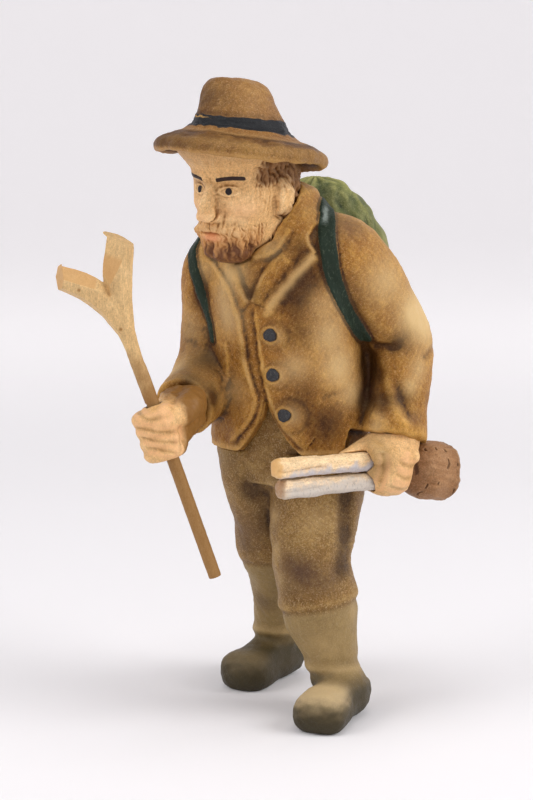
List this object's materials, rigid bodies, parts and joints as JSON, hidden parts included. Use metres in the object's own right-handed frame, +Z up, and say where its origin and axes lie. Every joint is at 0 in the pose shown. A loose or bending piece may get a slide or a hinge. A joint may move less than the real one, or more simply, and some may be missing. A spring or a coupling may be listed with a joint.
{
  "type": "carved wooden figurine",
  "caption": "Carved and painted wooden figurine of a bearded wood gatherer walking with a forked staff, carrying firewood in one hand and a rucksack on the back.",
  "frame": {"origin": "bottom centre of the figure's box, on the surface that the soles stand on", "axes": "+Z up, -Y the way the figure walks and faces, +X towards its left hand"},
  "size_m": [0.0634, 0.0636, 0.1207],
  "materials": {
    "jacket_brown": "stained and brushed paint over carved wood, satin",
    "trouser_olive": "stained carved wood, matt",
    "skin": "thin skin-coloured stain over carved wood, satin",
    "hat_ochre": "brushed ochre stain, matt",
    "pale_wood": "knife-cut pale wood, brown-stained shaft",
    "bark_brown": "brown bark, matt",
    "birch_grey": "pale split wood with silver-grey bark",
    "pack_green": "brushed green stain, matt",
    "dowel_beech": "plain beech dowel"
  },
  "bodies": {
    "figure": {"hat": "hat_ochre", "hat_dowel": "dowel_beech", "head": "skin", "jacket": "jacket_brown", "left_hand": "skin", "left_wrist_dowel": "dowel_beech", "legs": "trouser_olive", "log": "bark_brown", "pack_dowel_lower": "dowel_beech", "pack_dowel_upper": "dowel_beech", "right_hand": "skin", "right_wrist_dowel": "dowel_beech", "rucksack": "pack_green", "stick_lower": "birch_grey", "stick_upper": "birch_grey"},
    "staff": {"staff": "pale_wood"}
  },
  "joints": [
    {"name": "staff_lift", "type": "slide", "parent": "figure", "child": "staff", "axis": [-0.2969, -0.139, 0.9447], "range_m": [0, 0.034]}
  ]
}
